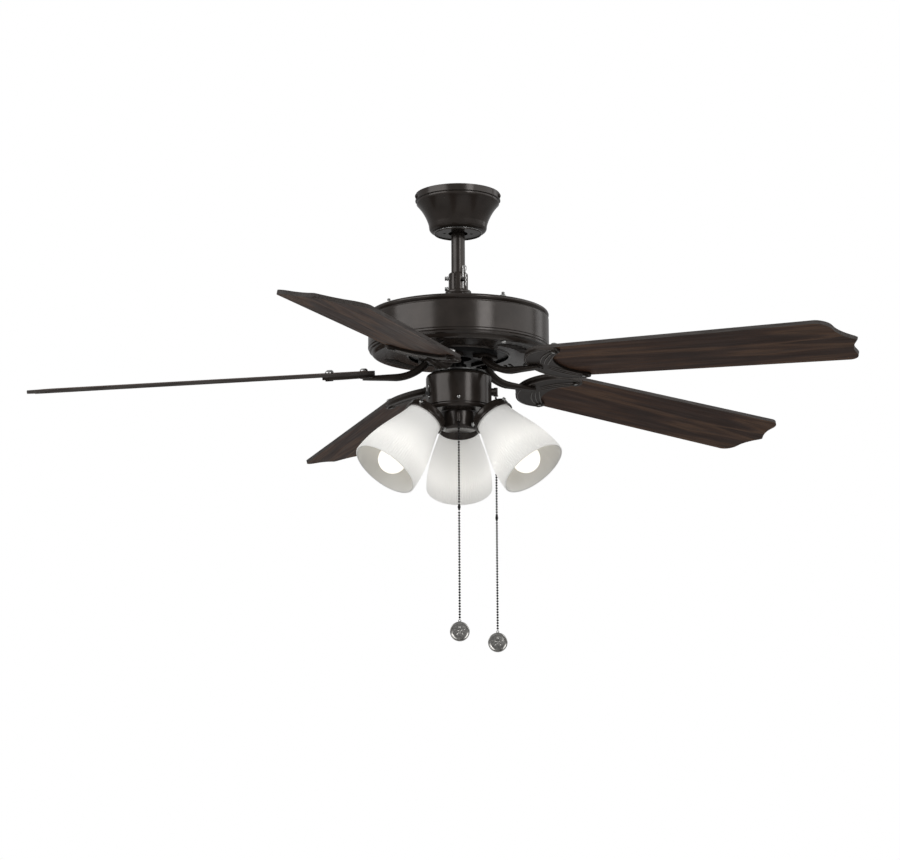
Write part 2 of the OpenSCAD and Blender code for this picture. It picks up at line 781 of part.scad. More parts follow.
module lamp_sockets() {
    back_s = sheet - gallery_h + 0.02;
    color(black) for (i = [0:2]) on_shade(i) difference() {
        translate([0, 0, back_s]) cylinder(r = socket_r, h = 34);
        translate([0, 0, back_s + 4]) cylinder(r = 14, h = 40);
        translate([0, 0, back_s - 1]) cylinder(r = 3, h = 10);
    }
}

function bulb_path() = concat(
    [[0, -4], [10, -4], [13.2, 0], [13.2, 27], [13.8, 30], [14.2, 50], [15, 60], [16.4, 68]],
    arc([0, globe_s], globe_r, -30, 90, 16)
);

module bulbs() {
    color(opal) for (i = [0:2]) on_shade(i) rotate_extrude() polygon(bulb_path());
}

module thumbscrews() {
    color(steel) for (i = [0:2], k = [0:2]) on_shade(i) rotate([0, 0, thumb_az[i] + 120 * k]) {
        spoke(0, thumb_s, neck_r + 0.4, gallery_r + 1.5, 1.5);
        spoke(0, thumb_s, gallery_r + 1.5, gallery_r + 5, 3);
    }
}

// Outside of the glass: a straight neck, then a bell that fills out quickly and ends nearly straight
function shade_path() = concat(
    [[neck_r, -10.5], [neck_r, -1.5]],
    [for (i = [0:16]) let (t = i / 16)
        [neck_r + 1.2 + (shade_d / 2 - neck_r - 1.2) * (1 - (1 - t) ^ 2.05) ^ 1.5, 1 + (shade_len - 1) * t]]
);

module shade(i) {
    color(opal) on_shade(i) spun(shade_path(), -glass_t);
}

// ---- Pull chains ----

module pull_stem(az, rho, z) {
    color(steel) rotate([0, 0, az]) translate([rho, 0, z + outlet_up - 1.2 - stem_len])
        cylinder(r = chain_r, h = stem_len);
}

module chain(az, rho, z, connector_z, fob_z) {
    top_z = z + outlet_up - 1.6 - stem_len;
    end_z = fob_z + fob_r + 2 * fob_ring - 0.2;
    color(steel) rotate([0, 0, az]) translate([rho, 0, 0]) {
        translate([0, 0, end_z]) cylinder(r = chain_r, h = top_z - end_z, $fn = 32);
        translate([0, 0, connector_z - connector_len / 2]) cylinder(r = connector_r, h = connector_len, $fn = 32);
    }
}

// A coin-shaped fob with a raised rim, facing along Y
module fob(az, rho, z) {
    wire_r = 0.7;
    rim = 1.6;
    face_t = fob_t - 1.2;
    color(zinc) translate([rho * cos(az), rho * sin(az), z]) {
        rotate([90, 0, 0]) translate([0, 0, -face_t / 2]) cylinder(r = fob_r - 0.5, h = face_t);
        rotate([90, 0, 0]) ring(fob_r, fob_r - rim, -fob_t / 2, fob_t / 2);
        translate([0, 0, fob_r + fob_ring - wire_r - 0.3]) rotate([90, 0, 0])
            rotate_extrude() translate([fob_ring - wire_r, 0]) circle(r = wire_r, $fn = 24);
    }
}

module fan_pull_stem() pull_stem(speed_az, speed_rho, speed_z);
module fan_chain() chain(speed_az, speed_rho, speed_z, fan_connector_z, fan_fob_z);
module fan_fob() fob(speed_az, speed_rho, fan_fob_z);
module light_pull_stem() pull_stem(light_az, light_rho, light_z);
module light_chain() chain(light_az, light_rho, light_z, light_connector_z, light_fob_z);
module light_fob() fob(light_az, light_rho, light_fob_z);

hanger_bracket();
canopy();
canopy_ring();
canopy_screws();
hanger_ball();
ball_pin();
downrod();
yoke();
clevis_pin();
hairpin_clip();
yoke_screws();
motor_cover();
motor_band();
motor_pan();
housing_bolts();
motor_shaft();
stator_core();
stator_windings();
rotor_cover();
rotor_base();
bearings();
flywheel();
blade_iron(0);  // blade_iron_1
blade_iron(1);  // blade_iron_2
blade_iron(2);  // blade_iron_3
blade_iron(3);  // blade_iron_4
blade_iron(4);  // blade_iron_5
blade(0);  // blade_1
blade(1);  // blade_2
blade(2);  // blade_3
blade(3);  // blade_4
blade(4);  // blade_5
iron_screws();
blade_screws();
housing_plate();
shaft_nut();
switch_housing();
speed_switch();
capacitor();
reverse_switch();
reverse_slider();
reverse_screws();
chain_outlets();
light_pan();
light_pan_screws();
light_drum();
light_switch();
galleries();
lamp_sockets();
bulbs();
thumbscrews();
shade(0);  // shade_1
shade(1);  // shade_2
shade(2);  // shade_3
fan_pull_stem();
fan_chain();
fan_fob();
light_pull_stem();
light_chain();
light_fob();
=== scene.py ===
import json
import math
import bmesh
import bpy
from mathutils import Matrix, Vector


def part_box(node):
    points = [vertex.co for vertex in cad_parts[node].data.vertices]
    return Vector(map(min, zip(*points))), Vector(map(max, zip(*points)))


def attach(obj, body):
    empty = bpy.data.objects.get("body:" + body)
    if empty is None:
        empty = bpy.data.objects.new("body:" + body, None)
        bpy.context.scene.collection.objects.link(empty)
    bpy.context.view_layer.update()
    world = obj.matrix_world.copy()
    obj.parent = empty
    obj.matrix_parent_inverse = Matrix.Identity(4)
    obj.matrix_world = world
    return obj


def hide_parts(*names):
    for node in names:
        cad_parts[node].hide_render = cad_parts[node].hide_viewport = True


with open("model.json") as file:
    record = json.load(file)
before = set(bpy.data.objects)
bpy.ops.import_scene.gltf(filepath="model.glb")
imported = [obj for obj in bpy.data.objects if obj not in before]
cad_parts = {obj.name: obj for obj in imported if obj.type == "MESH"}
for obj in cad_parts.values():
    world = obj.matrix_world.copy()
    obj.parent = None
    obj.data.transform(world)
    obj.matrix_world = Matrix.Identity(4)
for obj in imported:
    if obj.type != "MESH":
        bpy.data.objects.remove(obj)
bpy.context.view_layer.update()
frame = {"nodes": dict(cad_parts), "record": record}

# The ceiling fan's looks.  Shapes are in millimetres and degrees, and piece() turns them into metres.
# The stage and its lights are in metres.
MM = 0.001
nodes = frame["nodes"]
scene = bpy.context.scene


def low(node, axis):
    """The lower end of a CAD node's box along an axis, in millimetres."""
    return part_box(node)[0][axis] / MM


def high(node, axis):
    """The upper end of a CAD node's box along an axis, in millimetres."""
    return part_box(node)[1][axis] / MM


# ---- camera, light and stage ----

CAMERA_AT = (0.0, -3344.2, -980.1)
CAMERA_YAW = -0.237
CAMERA_PITCH = 10.294
CAMERA_ROLL = -0.259
CAMERA_LENS = 88.72
SENSOR = 36.0
ROOM = 0.35  # strength of the even light from all round
FLOOR_SIZE = 40.0
FLOOR_Z = -2.4
FLOOR_GLOW = 0.45
AIM_Z = -0.25  # a softbox at height h points at this height plus AIM_RISE * h, on the fan's axis
AIM_RISE = 0.75
WHITE = (1.0, 1.0, 1.0, 1.0)


def make_camera():
    data = bpy.data.cameras.new("camera")
    data.sensor_width = SENSOR
    data.lens = CAMERA_LENS
    data.clip_end = 50.0
    camera = bpy.data.objects.new("camera", data)
    turn = Matrix.Rotation(math.radians(-CAMERA_YAW), 4, "Z")
    lift = Matrix.Rotation(math.radians(90 + CAMERA_PITCH), 4, "X")
    roll = Matrix.Rotation(math.radians(CAMERA_ROLL), 4, "Z")
    camera.matrix_world = Matrix.Translation(Vector(CAMERA_AT) * MM) @ turn @ lift @ roll
    scene.collection.objects.link(camera)
    scene.camera = camera


def softbox(name, azimuth, height, distance, size, power):
    """A white rectangular light, azimuth degrees to the right of straight in front of the fan."""
    data = bpy.data.lights.new(name, "AREA")
    data.shape = "RECTANGLE"
    data.size, data.size_y = size
    data.energy = power
    light = bpy.data.objects.new(name, data)
    turn = math.radians(azimuth - 90)
    light.location = (distance * math.cos(turn), distance * math.sin(turn), height)
    aim = Vector((0, 0, AIM_Z + AIM_RISE * height))
    light.rotation_euler = (aim - light.location).to_track_quat("-Z", "Y").to_euler()
    scene.collection.objects.link(light)


def make_world():
    """A dim room for the light, and plain white wherever the camera sees past the fan."""
    world = bpy.data.worlds.new("studio")
    scene.world = world
    world.use_nodes = True
    tree = world.node_tree
    room = tree.nodes["Background"]
    room.inputs["Color"].default_value = WHITE
    room.inputs["Strength"].default_value = ROOM
    backdrop = tree.nodes.new("ShaderNodeBackground")
    backdrop.inputs["Color"].default_value = WHITE
    chooser = tree.nodes.new("ShaderNodeMixShader")
    path = tree.nodes.new("ShaderNodeLightPath")
    tree.links.new(path.outputs["Is Camera Ray"], chooser.inputs["Fac"])
    tree.links.new(room.outputs[0], chooser.inputs[1])
    tree.links.new(backdrop.outputs[0], chooser.inputs[2])
    tree.links.new(chooser.outputs[0], tree.nodes["World Output"].inputs["Surface"])


def make_floor():
    """A pale floor with a glow that only the camera sees, so it is nearly as pale as the backdrop."""
    bpy.ops.mesh.primitive_plane_add(size=FLOOR_SIZE, location=(0, 0, FLOOR_Z))
    floor = bpy.context.object
    floor.name = "studio_floor"
    paint = bpy.data.materials.new("studio_floor")
    paint.use_nodes = True
    tree = paint.node_tree
    shader = tree.nodes["Principled BSDF"]
    shader.inputs["Base Color"].default_value = (0.8, 0.8, 0.8, 1.0)
    shader.inputs["Emission Color"].default_value = (FLOOR_GLOW, FLOOR_GLOW, FLOOR_GLOW, 1.0)
    path = tree.nodes.new("ShaderNodeLightPath")
    tree.links.new(path.outputs["Is Camera Ray"], shader.inputs["Emission Strength"])
    floor.data.materials.append(paint)


def make_stage():
    scene.view_settings.view_transform = "Standard"
    make_world()
    make_floor()
    softbox("wall_right", 77, 1.0, 2.6, (3.0, 1.9), 24)
    softbox("strip_middle", 33, 1.0, 3.0, (0.95, 1.9), 30)
    softbox("wall_left", -58, 1.0, 2.8, (2.9, 1.9), 48)
    softbox("rim_right", 122, 0.9, 2.4, (0.7, 1.7), 4)


# ---- materials ----

GRAIN = "grain"  # the vertex attribute that holds a blade's own flat coordinates
SHADE_LEN = 108
RIBS = 84
FIRST_RIB = 0.42  # the ribs of a shade start this far along it, as a share of its length
FULL_RIB = 0.66  # and have their full depth from here on


def principled(name, **inputs):
    """A new material with plain values on its shader's sockets, whose names have _ for a space."""
    material = bpy.data.materials.new(name)
    material.use_nodes = True
    shader = material.node_tree.nodes["Principled BSDF"]
    for key, value in inputs.items():
        shader.inputs[key.replace("_", " ")].default_value = value
    return material, material.node_tree, shader


def feed(tree, shader, **sources):
    """Links each source to the shader's socket of that name."""
    for key, source in sources.items():
        tree.links.new(source, shader.inputs[key.replace("_", " ")])


def texture_space(tree, output="Object"):
    return tree.nodes.new("ShaderNodeTexCoord").outputs[output]


def noise(tree, scale, detail=3.0, stretch=(1, 1, 1), distortion=0.0, source=None):
    """Noise in the piece's own metres, or in those of source; stretch multiplies the coordinates."""
    mapping = tree.nodes.new("ShaderNodeMapping")
    mapping.inputs["Scale"].default_value = stretch
    texture = tree.nodes.new("ShaderNodeTexNoise")
    texture.inputs["Scale"].default_value = scale
    texture.inputs["Detail"].default_value = detail
    texture.inputs["Distortion"].default_value = distortion
    tree.links.new(source or texture_space(tree), mapping.inputs["Vector"])
    tree.links.new(mapping.outputs["Vector"], texture.inputs["Vector"])
    return texture.outputs["Fac"]


def ramp(tree, fac, *stops):
    """Colours along fac; each stop is a place and a colour."""
    node = tree.nodes.new("ShaderNodeValToRGB")
    elements = node.color_ramp.elements
    while len(elements) < len(stops):
        elements.new(0.5)
    for element, (at, colour) in zip(elements, stops):
        element.position = at
        element.color = (*colour, 1.0)
    tree.links.new(fac, node.inputs["Fac"])
    return node.outputs["Color"]


def grey(v):
    return (v, v, v)


def mottled(tree, scale, dark, light, **how):
    """A colour that wanders between two tones."""
    return ramp(tree, noise(tree, scale, **how), (0.3, dark), (0.7, light))


def rgb_mix(tree, a, b, blend):
    node = tree.nodes.new("ShaderNodeMix")
    node.data_type = "RGBA"
    node.blend_type = blend
    tree.links.new(a, node.inputs["A"])
    tree.links.new(b, node.inputs["B"])
    return node


def multiplied(tree, a, b):
    node = rgb_mix(tree, a, b, "MULTIPLY")
    node.inputs["Factor"].default_value = 1.0
    return node.outputs["Result"]


def mixed(tree, fac, a, b):
    """Colour a where fac is 0 and colour b where it is 1."""
    node = rgb_mix(tree, a, b, "MIX")
    tree.links.new(fac, node.inputs["Factor"])
    return node.outputs["Result"]


def calculated(tree, operation, a, b=None):
    """A maths node; a and b are sockets or plain numbers."""
    node = tree.nodes.new("ShaderNodeMath")
    node.operation = operation
    for socket, value in zip(node.inputs, (a, b)):
        if isinstance(value, (int, float)):
            socket.default_value = value
        elif value is not None:
            tree.links.new(value, socket)
    return node.outputs[0]


def parted(tree, vector):
    """The X, Y and Z of a vector socket."""
    node = tree.nodes.new("ShaderNodeSeparateXYZ")
    tree.links.new(vector, node.inputs[0])
    return node.outputs


def bump(tree, shader, height, depth):
    """Fine relief, depth in millimetres."""
    node = tree.nodes.new("ShaderNodeBump")
    node.inputs["Strength"].default_value = 1.0
    node.inputs["Distance"].default_value = depth * MM
    tree.links.new(height, node.inputs["Height"])
    feed(tree, shader, Normal=node.outputs["Normal"])


def bronze_paint(name, gloss, roughness, pale=1.0):
    """Oil-rubbed bronze: a nearly black brown with a satin skin; pale scales its colour, and above 1 gives a
    paler copy that is a painted highlight.
    """
    material, tree, shader = principled(name, Metallic=0.25, Specular_IOR_Level=gloss)
    dark = (0.027 * pale, 0.0215 * pale, 0.018 * pale)
    light = (0.038 * pale, 0.0305 * pale, 0.026 * pale)
    feed(
        tree, shader,
        Base_Color=mottled(tree, 45, dark, light),
        Roughness=mottled(tree, 120, grey(roughness - 0.02), grey(roughness + 0.02)),
    )
    bump(tree, shader, noise(tree, 1400, 2.0), 0.01)
    return material


def walnut_veneer():
    """Dark walnut, its grain along the blade: broad warm streaks, fine pores and a greyer edge band."""
    material, tree, shader = principled("walnut", Specular_IOR_Level=0.12)
    attribute = tree.nodes.new("ShaderNodeAttribute")
    attribute.attribute_name = GRAIN
    flat_blade = attribute.outputs["Vector"]
    streaks = ramp(
        tree, noise(tree, 34, 7.0, (0.07, 1.0, 0.4), 1.1, flat_blade),
        (0.33, (0.028, 0.0125, 0.008)),
        (0.45, (0.056, 0.0265, 0.016)),
        (0.55, (0.118, 0.062, 0.034)),
        (0.66, (0.046, 0.022, 0.0135)),
    )
    pores = noise(tree, 800, stretch=(0.02, 1.0, 1.0), source=flat_blade)
    wood = multiplied(tree, streaks, ramp(tree, pores, (0.38, grey(0.5)), (0.5, grey(1.0))))
    banding = ramp(tree, pores, (0.38, (0.042, 0.036, 0.033)), (0.6, (0.075, 0.067, 0.062)))
    # The faces look up or down and carry the veneer; the edges look sideways and carry the banding
    upright = calculated(tree, "ABSOLUTE", parted(tree, texture_space(tree, "Normal"))["Z"])
    veneer = ramp(tree, upright, (0.5, grey(0.0)), (0.8, grey(1.0)))
    along_grain = {"stretch": (0.05, 1.0, 1.0), "source": flat_blade}
    feed(
        tree, shader,
        Base_Color=mixed(tree, veneer, banding, wood),
        Roughness=mottled(tree, 200, grey(0.42), grey(0.56), **along_grain),
    )
    bump(tree, shader, pores, 0.06)
    return material


def plain_metal(name, colour, roughness):
    material, tree, shader = principled(name, Metallic=1.0)
    feed(
        tree, shader,
        Base_Color=mottled(tree, 90, tuple(0.85 * c for c in colour), colour),
        Roughness=mottled(tree, 250, grey(roughness - 0.05), grey(roughness + 0.07)),
    )
    bump(tree, shader, noise(tree, 900), 0.04)
    return material


def antique_pewter():
    """A clear polish over a tone that wanders."""
    material, tree, shader = principled("pewter", Metallic=1.0)
    tone = ramp(tree, noise(tree, 300, 4.0), (0.35, (0.27, 0.265, 0.25)), (0.65, (0.42, 0.41, 0.39)))
    feed(tree, shader, Base_Color=tone, Roughness=mottled(tree, 400, grey(0.16), grey(0.27)))
    bump(tree, shader, noise(tree, 700, 4.0), 0.02)
    return material


def outside_of_shade(tree, own):
    """1 outside the glass, where its normal points away from the shade's axis, and 0 inside."""
    facing = parted(tree, texture_space(tree, "Normal"))
    outward = calculated(tree, "MULTIPLY", own["X"], facing["X"])
    outward = calculated(tree, "ADD", outward, calculated(tree, "MULTIPLY", own["Y"], facing["Y"]))
    return ramp(tree, calculated(tree, "GREATER_THAN", outward, 0.0), (0.0, grey(0.0)), (1.0, grey(1.0)))


def painted_groove_shade_mask(tree, own, along):
    """1 in the grooves between the ribs, where these have their full depth: the mask of the painted shade in
    the grooves.
    """
    turn = calculated(tree, "ARCTAN2", own["Y"], own["X"])
    wave = calculated(tree, "COSINE", calculated(tree, "MULTIPLY", turn, RIBS))
    groove = ramp(tree, wave, (0.0, grey(0.0)), (0.9, grey(1.0)))
    ribbed = ramp(tree, along, (FIRST_RIB, grey(0.0)), (FULL_RIB, grey(1.0)))
    return multiplied(tree, groove, ribbed)


def shade_glass():
    """Frosted glass with a painted glow outside round its lamp, painted shade inside, and painted shade in
    the grooves between its ribs.
    """
    material, tree, shader = principled(
        "shade_glass", Transmission_Weight=0.22, IOR=1.3, Specular_IOR_Level=0.4,
        Emission_Color=(1.0, 0.975, 0.92, 1.0),
    )
    own = parted(tree, texture_space(tree))
    along = calculated(tree, "MULTIPLY", own["Z"], 1 / (SHADE_LEN * MM))
    outside = outside_of_shade(tree, own)
    # The glass's own glow, strongest round the lamp and only on the outside, is painted light
    glow = ramp(tree, along, (0.05, grey(0.14)), (0.35, grey(0.22)), (0.68, grey(0.36)), (0.98, grey(0.2)))
    rib = mottled(tree, 30, (0.84, 0.84, 0.83), (0.88, 0.88, 0.87))
    # The darker colour in the grooves is painted shade
    groove = mottled(tree, 30, (0.74, 0.74, 0.73), (0.78, 0.78, 0.77))
    # The darker colour of the inner face is painted shade
    painted_shade_inside = mottled(tree, 30, (0.73, 0.725, 0.71), (0.77, 0.765, 0.75))
    outer_face = mixed(tree, painted_groove_shade_mask(tree, own, along), rib, groove)
    feed(
        tree, shader,
        Base_Color=mixed(tree, outside, painted_shade_inside, outer_face),
        Emission_Strength=multiplied(tree, glow, outside),
        Roughness=mottled(tree, 260, grey(0.5), grey(0.62)),
    )
    bump(tree, shader, noise(tree, 700), 0.04)
    return material


def lamp_glass():
    material, tree, shader = principled(
        "lamp_glass", Roughness=0.35, Emission_Strength=0.85, Emission_Color=(1.0, 0.95, 0.84, 1.0)
    )
    feed(tree, shader, Base_Color=mottled(tree, 40, (0.95, 0.93, 0.88), (0.97, 0.95, 0.9)))
    return material


def black_plastic():
    material, tree, shader = principled("black_plastic")
    feed(
        tree, shader,
        Base_Color=mottled(tree, 80, (0.012, 0.012, 0.012), (0.02, 0.02, 0.019)),
        Roughness=mottled(tree, 200, grey(0.45), grey(0.6)),
    )
    bump(tree, shader, noise(tree, 1100), 0.05)
    return material


MATERIALS = {
    "bronze": bronze_paint("bronze", 0.36, 0.21),
    "walnut": walnut_veneer(),
    "steel": plain_metal("steel", (0.5, 0.5, 0.49), 0.26),
    "dark_steel": plain_metal("dark_steel", (0.028, 0.027, 0.026), 0.36),
    "zinc_steel": plain_metal("zinc_steel", (0.18, 0.18, 0.175), 0.45),
    "cast_alloy": plain_metal("cast_alloy", (0.16, 0.16, 0.16), 0.55),
    "laminations": plain_metal("laminations", (0.2, 0.21, 0.22), 0.5),
    "copper": plain_metal("copper", (0.5, 0.21, 0.09), 0.35),
    "pewter": antique_pewter(),
    "shade_glass": shade_glass(),
    "lamp_glass": lamp_glass(),
    "black_plastic": black_plastic(),
}

# Two more finishes of the bronze slot, for the blade irons: a dull cast one, and a paler, glossier one whose
# paleness is a painted highlight on the ridges
CAST_BRONZE = bronze_paint("cast_bronze", 0.12, 0.3, 0.85)
PAINTED_GLINT_BRONZE = bronze_paint("painted_glint_bronze", 1.0, 0.2, 1.8)


def dress_cad_nodes():
    """Gives every CAD node its slot's material.  Detailed pieces replace some of the nodes later."""
    for part in frame["record"]["subparts"]:
        mesh = nodes[part["node"]].data
        mesh.materials.clear()
        mesh.materials.append(MATERIALS[part["material_slot"]])


# ---- mesh making ----

ORIGIN = Matrix.Identity(4)


def shift(x, y, z):
    return Matrix.Translation((x, y, z))


def spin(angle, axis="Z"):
    return Matrix.Rotation(math.radians(angle), 4, axis)


def arc(centre, radius, start, end, steps=8):
    """Points on a flat arc, from angle start to angle end."""
    points = []
    for i in range(steps + 1):
        a = math.radians(start + (end - start) * i / steps)
        points.append((centre[0] + radius * math.cos(a), centre[1] + radius * math.sin(a)))
    return points


def curve(start, pull, end, steps):
    """Points on a quadratic curve that leaves start towards pull and comes to end from it."""
    points = []
    for i in range(steps + 1):
        t = i / steps
        points.append(start * (1 - t) ** 2 + pull * 2 * t * (1 - t) + end * t ** 2)
    return points


def softened(points, radius, steps=3):
    """The open outline with each corner rounded."""
    path = [Vector(p) for p in points]
    out = [path[0]]
    for before, corner, after in zip(path, path[1:], path[2:]):
        a, b = before - corner, after - corner
        cut = min(radius, 0.45 * a.length, 0.45 * b.length)
        out += curve(corner + a.normalized() * cut, corner, corner + b.normalized() * cut, steps)
    out.append(path[-1])
    return [tuple(p) for p in out]


def offset(points, distance):
    """The outline moved to the right of its run by distance."""
    path = [Vector(p) for p in points]
    out = []
    for i, p in enumerate(path):
        before = (p - path[i - 1]).normalized() if i else None
        after = (path[i + 1] - p).normalized() if i + 1 < len(path) else None
        before = before or after
        after = after or before
        normal = Vector((before.y + after.y, -before.x - after.x)).normalized()
        across = max(0.4, normal.dot(Vector((after.y, -after.x))))
        out.append(tuple(p + normal * distance / across))
    return out


def shell(points, wall):
    """A closed section: the outline and its copy one wall thickness to the right of its run."""
    return points + offset(points, wall)[::-1]


def lathe(bm, section, place=ORIGIN, steps=96, closed=True, wave=None):
    """Turns a section of (radius, height) points about Z; wave(angle, index) adds to a point's radius."""
    rings = []
    for i, (r, z) in enumerate(section):
        if abs(r) < 1e-6:
            rings.append([bm.verts.new(place @ Vector((0, 0, z)))])
            continue
        ring = []
        for k in range(steps):
            a = 2 * math.pi * k / steps
            rr = r + (wave(a, i) if wave else 0.0)
            ring.append(bm.verts.new(place @ Vector((rr * math.cos(a), rr * math.sin(a), z))))
        rings.append(ring)
    pairs = list(zip(rings, rings[1:]))
    if closed:
        pairs.append((rings[-1], rings[0]))
    for a, b in pairs:
        if len(a) == 1 and len(b) == 1:
            continue
        for k in range(steps):
            n = (k + 1) % steps
            corners = [a[k % len(a)], a[n % len(a)], b[n % len(b)], b[k % len(b)]]
            # Where a ring is a single point on the axis, two of the corners are that point
            bm.faces.new([v for j, v in enumerate(corners) if v not in corners[:j]])


def solid(outline):
    """A section whose two ends lie on the axis, so it needs no closing side."""
    return [(0.0, outline[0][1])] + outline + [(0.0, outline[-1][1])]


def turned(bm, outline, place=ORIGIN, steps=32):
    """A solid of revolution from an outline that runs from one end to the other."""
    lathe(bm, solid(outline), place, steps, closed=False)


def heading(path, i):
    """The direction of a path at its point i, taken from the points either side."""
    return (path[min(i + 1, len(path) - 1)] - path[max(i - 1, 0)]).normalized()


def skin(bm, rings):
    """Faces between successive rings of points, and one over each end."""
    for a, b in zip(rings, rings[1:]):
        for k in range(len(a)):
            n = (k + 1) % len(a)
            bm.faces.new((a[k], a[n], b[n], b[k]))
    bm.faces.new(rings[0])
    bm.faces.new(rings[-1])


def tube(bm, path, radius, place=ORIGIN, sides=10, squash=1.0):
    """A round bar along a path; radius is a number or a function of the way along it."""
    path = [Vector(p) for p in path]
    up = Vector((0, 0, 1))
    if abs((path[1] - path[0]).normalized().z) > 0.9:
        up = Vector((0, 1, 0))
    rings = []
    for i, p in enumerate(path):
        along = heading(path, i)
        side = along.cross(up).normalized()
        up = side.cross(along)
        r = radius(i / (len(path) - 1)) if callable(radius) else radius
        ring = []
        for k in range(sides):
            a = 2 * math.pi * k / sides
            spoke = side * math.cos(a) + up * squash * math.sin(a)
            ring.append(bm.verts.new(place @ (p + r * spoke)))
        rings.append(ring)
    skin(bm, rings)


def swelling(ends, more, power):
    """A radius for tube(): ends at both ends and up to more beyond that between them."""
    return lambda t: ends + more * math.sin(math.pi * t) ** power


def slab(bm, outline, z0, z1, bevel, place=ORIGIN, steps=2):
    """A flat plate with its upper and lower edges rounded off."""
    part = bmesh.new()
    bottom = [part.verts.new((x, y, z0)) for x, y in outline]
    top = [part.verts.new((x, y, z1)) for x, y in outline]
    lid = part.faces.new(top)
    base = part.faces.new(bottom[::-1])
    count = len(outline)
    for k in range(count):
        n = (k + 1) % count
        part.faces.new((bottom[k], bottom[n], top[n], top[k]))
    bmesh.ops.bevel(
        part, geom=list(lid.edges) + list(base.edges), offset=bevel, segments=steps,
        profile=0.5, affect="EDGES", clamp_overlap=True,
    )
    add(bm, part, place)


def add(bm, part, place):
    """Joins another mesh in progress to this one, and frees it."""
    part.transform(place)
    mesh = bpy.data.meshes.new("part")
    part.to_mesh(mesh)
    part.free()
    bm.from_mesh(mesh)
    bpy.data.meshes.remove(mesh)


def ball(bm, at, radius):
    bmesh.ops.create_uvsphere(bm, u_segments=12, v_segments=8, radius=radius, matrix=shift(*at))


def piece(bm, name, slot, body, replaced, place=ORIGIN, sharp=40.0, finish=None):
    """Makes the object, smooth but for edges over sharp degrees.

    It rides on body and stands for the CAD nodes in replaced.
    finish is its material where that isn't the slot's.
    """
    bmesh.ops.recalc_face_normals(bm, faces=bm.faces)
    bmesh.ops.scale(bm, vec=(MM, MM, MM), verts=bm.verts)
    mesh = bpy.data.meshes.new(name)
    bm.to_mesh(mesh)
    bm.free()
    for face in mesh.polygons:
        face.use_smooth = True
    mesh.set_sharp_from_angle(angle=math.radians(sharp))
    mesh.materials.append(finish or MATERIALS[slot])
    thing = bpy.data.objects.new(name, mesh)
    scene.collection.objects.link(thing)
    placed = place.copy()
    placed.translation *= MM
    thing.matrix_world = placed
    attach(thing, body)
    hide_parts(*replaced)


def cross_outline(length, half):
    """Twenty-four points round a cross-shaped recess."""
    corners = []
    for turn in (0, 90, 180, 270):
        quarter = Matrix.Rotation(math.radians(turn), 2)
        corners += [quarter @ Vector(p) for p in ((length, -half), (length, half), (half, half))]
    points = []
    for here, after in zip(corners, corners[1:] + corners[:1]):
        points += [here, (here + after) / 2]
    return points


def screw(bm, place, radius, height, shank_r, shank):
    """A round-headed screw along its own Z, head up from 0, with a cross recess in its top."""
    star = cross_outline(0.5 * radius, 0.15 * radius)
    angles = [math.atan2(p.y, p.x) for p in star]
    profile = [(shank_r * 0.8, -shank), (shank_r, 0.5 - shank), (shank_r, 0), (radius * 0.96, 0)]
    profile += [(radius, 0.15 * height), (radius * 0.97, 0.4 * height), (radius * 0.82, 0.74 * height)]
    profile += [(radius * 0.6, 0.94 * height)]
    rings = [[Vector((r * math.cos(a), r * math.sin(a), z)) for a in angles] for r, z in profile]
    rings.append([Vector((p.x, p.y, height)) for p in star])
    rings.append([Vector((0.86 * p.x, 0.86 * p.y, 0.45 * height)) for p in star])
    skin(bm, [[bm.verts.new(place @ v) for v in ring] for ring in rings])


# ---- blades and their irons ----

BLADE_N = 5
FIRST_BLADE_AZ = -34
BLADE_Z = -278.2
BLADE_DROOP = 3.4
BLADE_PITCH = 12.5
BLADE_T = 5.5
SWEEP_D = 1320.8
TIP_U = SWEEP_D / 2 / math.cos(math.radians(BLADE_DROOP))
TIP_W = 128
OGEE_W = 38  # half the width of the bracket shape at a blade's tip
OGEE_DEPTH = 19
OGEE_POWER = 1.8
CORNER_R = 20
ROOT_U = 129  # from the fan's axis to a blade's root
ROOT_R = 53.5
BLADE_SCREWS = [(146, 0), (199, 45.5), (199, -45.5)]


def blade_turn(i):
    """Turns blade 0, drawn along X, into the place of blade i."""
    return spin(FIRST_BLADE_AZ + 360 * i / BLADE_N)


def blade_tilt():
    """Lifts a flat blade or plate to its height, droops it and pitches it."""
    return shift(0, 0, BLADE_Z) @ spin(BLADE_DROOP, "Y") @ spin(-BLADE_PITCH, "X")


def tip_half():
    """Half of a blade's tip, from its point to its long edge."""
    steps = 12
    points = []
    for k in range(steps):
        v = OGEE_W * k / steps
        points.append((TIP_U - OGEE_DEPTH * (1 - (1 - v / OGEE_W) ** OGEE_POWER), v))
    return points + arc((TIP_U - OGEE_DEPTH - CORNER_R, TIP_W / 2 - CORNER_R), CORNER_R, 0, 90, 12)


def blade_outline():
    half = tip_half()
    mirrored = [(u, -v) for u, v in half[::-1] if v > 0]
    return half + arc((ROOT_U + ROOT_R, 0), ROOT_R, 90, 270, 36) + mirrored


def keep_grain(bm):
    """Notes where each point lies in the flat blade, for the grain, before the blade goes into place."""
    layer = bm.verts.layers.float_vector.new(GRAIN)
    for vert in bm.verts:
        vert[layer] = vert.co * MM


def make_blade(i):
    node = f"blade_{i + 1}"
    bm = bmesh.new()
    slab(bm, blade_outline(), 0, BLADE_T, 1.1, steps=3)
    keep_grain(bm)
    bm.transform(blade_turn(i) @ blade_tilt())
    piece(bm, f"{node}_wood", "walnut", "rotor", [node])


